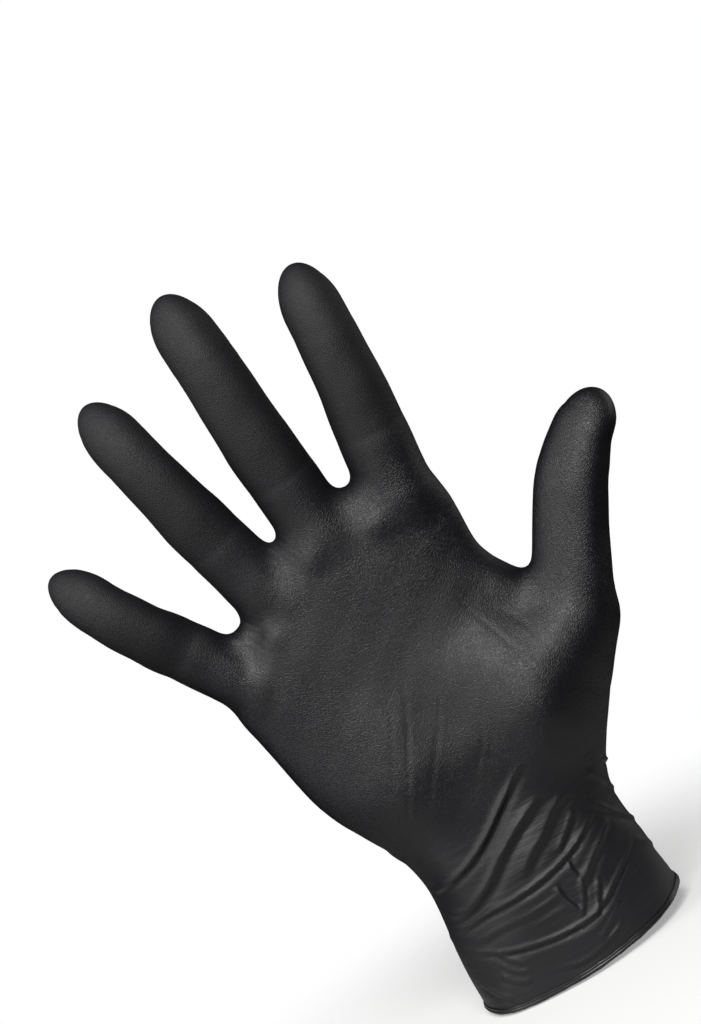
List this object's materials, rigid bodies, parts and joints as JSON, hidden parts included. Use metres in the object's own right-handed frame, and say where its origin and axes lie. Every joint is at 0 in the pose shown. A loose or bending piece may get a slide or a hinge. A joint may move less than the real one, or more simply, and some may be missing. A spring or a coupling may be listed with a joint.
{
  "type": "disposable glove",
  "caption": "Black dipped nitrile glove in the spread shape of a right hand, with a rolled cuff bead and folding finger stalls.",
  "frame": {"origin": "centre of the cuff opening, at the cuff's edge", "axes": "+Z from the cuff to the fingertips, -Y out of the palm, +X towards the thumb"},
  "size_m": [0.1822, 0.0502, 0.2394],
  "materials": {
    "nitrile_film": "black nitrile film with a fine leathery grain, satin",
    "nitrile_bead": "the same film rolled into a bead, smooth satin"
  },
  "bodies": {
    "cuff": {"cuff_bead": "nitrile_bead", "cuff_sleeve": "nitrile_film", "wrist_band": "nitrile_film"},
    "palm": {"palm_face": "nitrile_film", "hand_back": "nitrile_film", "index_root_band": "nitrile_film", "middle_root_band": "nitrile_film", "ring_root_band": "nitrile_film", "little_root_band": "nitrile_film", "thumb_root_band": "nitrile_film"},
    "index_root": {"index_root_stall": "nitrile_film", "index_middle_band": "nitrile_film"},
    "index_middle": {"index_middle_stall": "nitrile_film", "index_tip_band": "nitrile_film"},
    "index_end": {"index_tip": "nitrile_film"},
    "middle_root": {"middle_root_stall": "nitrile_film", "middle_middle_band": "nitrile_film"},
    "middle_middle": {"middle_middle_stall": "nitrile_film", "middle_tip_band": "nitrile_film"},
    "middle_end": {"middle_tip": "nitrile_film"},
    "ring_root": {"ring_root_stall": "nitrile_film", "ring_middle_band": "nitrile_film"},
    "ring_middle": {"ring_middle_stall": "nitrile_film", "ring_tip_band": "nitrile_film"},
    "ring_end": {"ring_tip": "nitrile_film"},
    "little_root": {"little_root_stall": "nitrile_film", "little_middle_band": "nitrile_film"},
    "little_middle": {"little_middle_stall": "nitrile_film", "little_tip_band": "nitrile_film"},
    "little_end": {"little_tip": "nitrile_film"},
    "thumb_root": {"thumb_root_stall": "nitrile_film", "thumb_tip_band": "nitrile_film"},
    "thumb_end": {"thumb_tip": "nitrile_film"}
  },
  "joints": [
    {"name": "wrist_fold", "type": "hinge", "parent": "cuff", "child": "palm", "pos_m": [0.0015, 0, 0.044], "axis": [1, 0, 0], "range_deg": [-25, 25], "stiffness_Nm_per_rad": 0.08, "deforming": ["wrist_band"]},
    {"name": "index_root_fold", "type": "hinge", "parent": "palm", "child": "index_root", "pos_m": [0.02572, 0, 0.16441], "axis": [0.9954, 0, -0.0958], "range_deg": [-10, 50], "stiffness_Nm_per_rad": 0.012, "deforming": ["index_root_band"]},
    {"name": "index_middle_fold", "type": "hinge", "parent": "index_root", "child": "index_middle", "pos_m": [0.02749, 0, 0.18283], "axis": [0.9954, 0, -0.0958], "range_deg": [0, 60], "stiffness_Nm_per_rad": 0.006, "deforming": ["index_middle_band"]},
    {"name": "index_tip_fold", "type": "hinge", "parent": "index_middle", "child": "index_end", "pos_m": [0.0296, 0, 0.20473], "axis": [0.9954, 0, -0.0958], "range_deg": [0, 45], "stiffness_Nm_per_rad": 0.003, "deforming": ["index_tip_band"]},
    {"name": "middle_root_fold", "type": "hinge", "parent": "palm", "child": "middle_root", "pos_m": [-0.00486, 0, 0.166], "axis": [0.999, 0, 0.0436], "range_deg": [-10, 50], "stiffness_Nm_per_rad": 0.012, "deforming": ["middle_root_band"]},
    {"name": "middle_middle_fold", "type": "hinge", "parent": "middle_root", "child": "middle_middle", "pos_m": [-0.0058, 0, 0.18748], "axis": [0.999, 0, 0.0436], "range_deg": [0, 60], "stiffness_Nm_per_rad": 0.006, "deforming": ["middle_middle_band"]},
    {"name": "middle_tip_fold", "type": "hinge", "parent": "middle_middle", "child": "middle_end", "pos_m": [-0.00695, 0, 0.21395], "axis": [0.999, 0, 0.0436], "range_deg": [0, 45], "stiffness_Nm_per_rad": 0.003, "deforming": ["middle_tip_band"]},
    {"name": "ring_root_fold", "type": "hinge", "parent": "palm", "child": "ring_root", "pos_m": [-0.03089, 0, 0.15929], "axis": [0.9724, 0, 0.2334], "range_deg": [-10, 50], "stiffness_Nm_per_rad": 0.012, "deforming": ["ring_root_band"]},
    {"name": "ring_middle_fold", "type": "hinge", "parent": "ring_root", "child": "ring_middle", "pos_m": [-0.03532, 0, 0.17777], "axis": [0.9724, 0, 0.2334], "range_deg": [0, 60], "stiffness_Nm_per_rad": 0.006, "deforming": ["ring_middle_band"]},
    {"name": "ring_tip_fold", "type": "hinge", "parent": "ring_middle", "child": "ring_end", "pos_m": [-0.04081, 0, 0.20062], "axis": [0.9724, 0, 0.2334], "range_deg": [0, 45], "stiffness_Nm_per_rad": 0.003, "deforming": ["ring_tip_band"]},
    {"name": "little_root_fold", "type": "hinge", "parent": "palm", "child": "little_root", "pos_m": [-0.05527, 0, 0.13623], "axis": [0.848, 0, 0.5299], "range_deg": [-10, 50], "stiffness_Nm_per_rad": 0.012, "deforming": ["little_root_band"]},
    {"name": "little_middle_fold", "type": "hinge", "parent": "little_root", "child": "little_middle", "pos_m": [-0.06375, 0, 0.1498], "axis": [0.848, 0, 0.5299], "range_deg": [0, 60], "stiffness_Nm_per_rad": 0.006, "deforming": ["little_middle_band"]},
    {"name": "little_tip_fold", "type": "hinge", "parent": "little_middle", "child": "little_end", "pos_m": [-0.07356, 0, 0.16549], "axis": [0.848, 0, 0.5299], "range_deg": [0, 45], "stiffness_Nm_per_rad": 0.003, "deforming": ["little_tip_band"]},
    {"name": "thumb_root_fold", "type": "hinge", "parent": "palm", "child": "thumb_root", "pos_m": [0.06121, -0.005, 0.10878], "axis": [0.6566, -0.6428, -0.3945], "range_deg": [-5, 40], "stiffness_Nm_per_rad": 0.012, "deforming": ["thumb_root_band"]},
    {"name": "thumb_tip_fold", "type": "hinge", "parent": "thumb_root", "child": "thumb_end", "pos_m": [0.07151, -0.005, 0.12593], "axis": [0.6077, -0.6428, -0.4663], "range_deg": [-5, 50], "stiffness_Nm_per_rad": 0.006, "deforming": ["thumb_tip_band"]}
  ]
}
